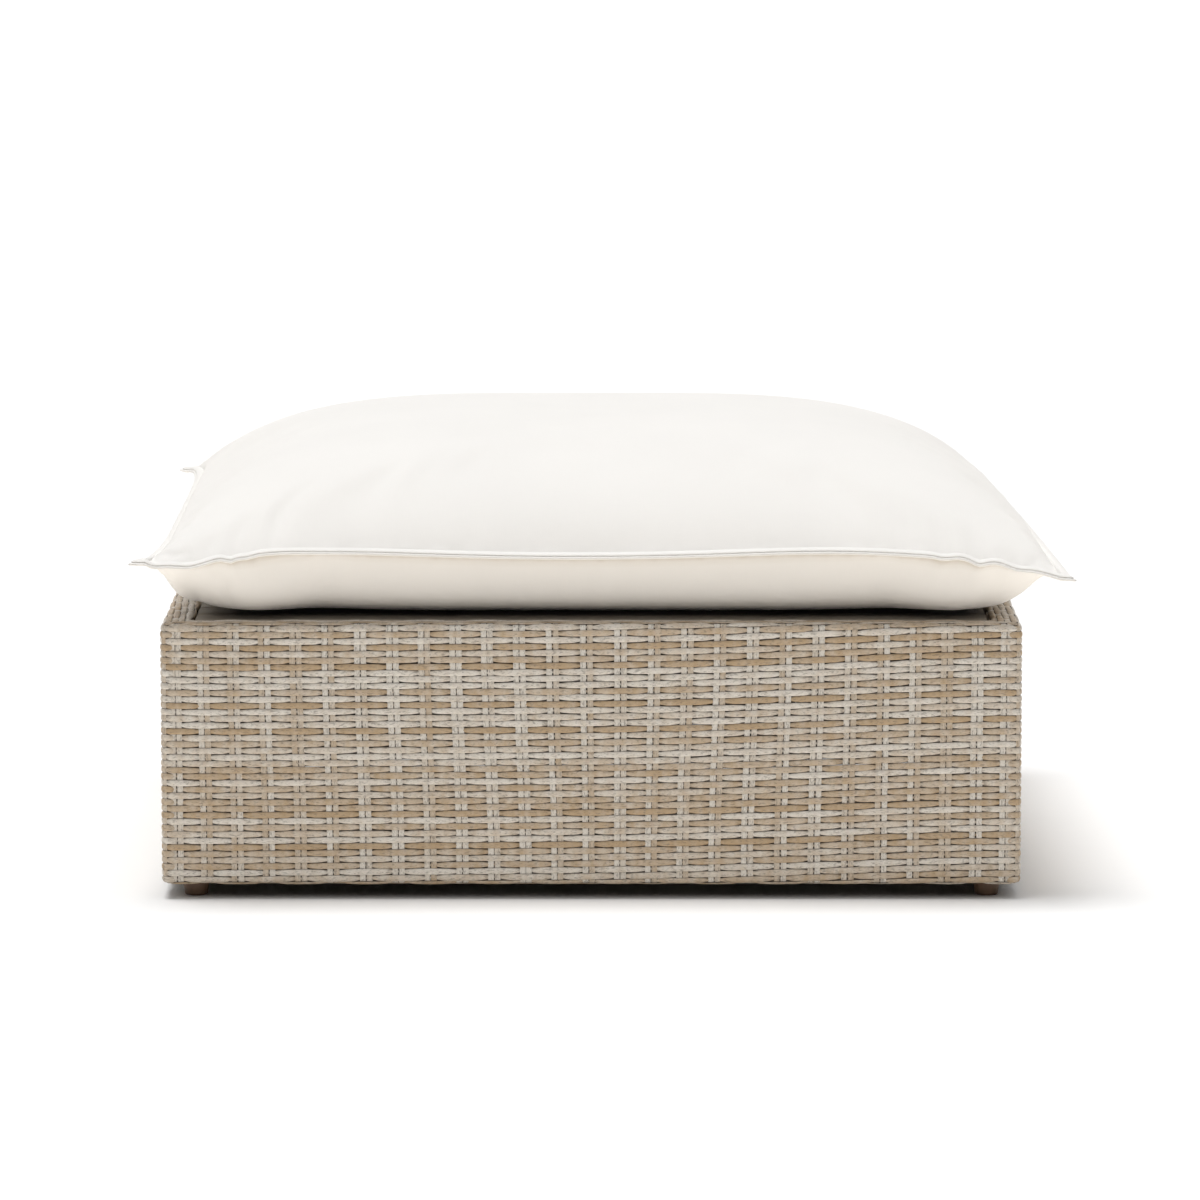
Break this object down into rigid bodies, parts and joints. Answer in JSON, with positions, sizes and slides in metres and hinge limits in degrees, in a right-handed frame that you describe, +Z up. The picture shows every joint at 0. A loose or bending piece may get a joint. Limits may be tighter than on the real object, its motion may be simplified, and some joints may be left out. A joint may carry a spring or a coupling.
{
  "type": "outdoor ottoman footstool",
  "caption": "Low square woven resin ottoman with a slatted deck, screw feet and a loose knife-edge cushion.",
  "frame": {"origin": "on the floor under the middle of the base", "axes": "+Z up, front towards -Y, slats and front edge along X"},
  "size_m": [0.994, 0.948, 0.4854],
  "materials": {
    "wicker": "streaked resin strands, tan and whitish, satin",
    "deck_slat": "matte grey faux wood",
    "frame_tube": "satin powder coat",
    "foot_pad": "satin brown nylon",
    "foot_steel": "satin zinc plate",
    "cushion_cloth": "matte woven acrylic",
    "cushion_filling": "matte polyester fibre",
    "zip_chain": "satin",
    "zip_metal": "satin enamel"
  },
  "bodies": {
    "base": {"top_rail_front": "frame_tube", "top_rail_back": "frame_tube", "top_rail_left": "frame_tube", "top_rail_right": "frame_tube", "bottom_rail_front": "frame_tube", "bottom_rail_back": "frame_tube", "bottom_rail_left": "frame_tube", "bottom_rail_right": "frame_tube", "corner_post_front_left": "frame_tube", "corner_post_front_right": "frame_tube", "corner_post_back_left": "frame_tube", "corner_post_back_right": "frame_tube", "stile_front": "frame_tube", "stile_back": "frame_tube", "stile_left": "frame_tube", "stile_right": "frame_tube", "deck_bearer_left": "frame_tube", "deck_bearer_middle": "frame_tube", "deck_bearer_right": "frame_tube", "foot_plate_front_left": "frame_tube", "foot_plate_front_right": "frame_tube", "foot_plate_back_left": "frame_tube", "foot_plate_back_right": "frame_tube", "foot_nut_front_left": "foot_steel", "foot_nut_front_right": "foot_steel", "foot_nut_back_left": "foot_steel", "foot_nut_back_right": "foot_steel", "deck_slat_01": "deck_slat", "deck_slat_02": "deck_slat", "deck_slat_03": "deck_slat", "deck_slat_04": "deck_slat", "deck_slat_05": "deck_slat", "deck_slat_06": "deck_slat", "deck_slat_07": "deck_slat", "deck_slat_08": "deck_slat", "deck_slat_09": "deck_slat", "deck_slat_10": "deck_slat", "deck_slat_11": "deck_slat", "deck_slat_12": "deck_slat", "deck_slat_13": "deck_slat", "deck_slat_14": "deck_slat", "deck_slat_15": "deck_slat", "deck_slat_16": "deck_slat", "woven_wall_front": "wicker", "woven_wall_back": "wicker", "woven_wall_left": "wicker", "woven_wall_right": "wicker"},
    "cushion": {"cushion_top_panel": "cushion_cloth", "cushion_bottom_panel": "cushion_cloth", "cushion_insert": "cushion_filling", "cushion_zip": "zip_chain"},
    "zip_slider": {"zip_slider": "zip_metal"},
    "foot_front_left": {"foot_pad_front_left": "foot_pad", "foot_stud_front_left": "foot_steel"},
    "foot_front_right": {"foot_pad_front_right": "foot_pad", "foot_stud_front_right": "foot_steel"},
    "foot_back_left": {"foot_pad_back_left": "foot_pad", "foot_stud_back_left": "foot_steel"},
    "foot_back_right": {"foot_pad_back_right": "foot_pad", "foot_stud_back_right": "foot_steel"}
  },
  "joints": [
    {"name": "cushion_lift", "type": "slide", "parent": "base", "child": "cushion", "axis": [0, 0, 1], "range_m": [0, 0.25]},
    {"name": "zip_open", "type": "hinge", "parent": "cushion", "child": "zip_slider", "pos_m": [0, 6.3986, 0.36], "axis": [0, 0, 1], "range_deg": [0, 5.85]},
    {"name": "foot_front_left_screw", "type": "slide", "parent": "base", "child": "foot_front_left", "axis": [0, 0, -1], "range_m": [0, 0.01]},
    {"name": "foot_front_right_screw", "type": "slide", "parent": "base", "child": "foot_front_right", "axis": [0, 0, -1], "range_m": [0, 0.01]},
    {"name": "foot_back_left_screw", "type": "slide", "parent": "base", "child": "foot_back_left", "axis": [0, 0, -1], "range_m": [0, 0.01]},
    {"name": "foot_back_right_screw", "type": "slide", "parent": "base", "child": "foot_back_right", "axis": [0, 0, -1], "range_m": [0, 0.01]}
  ]
}
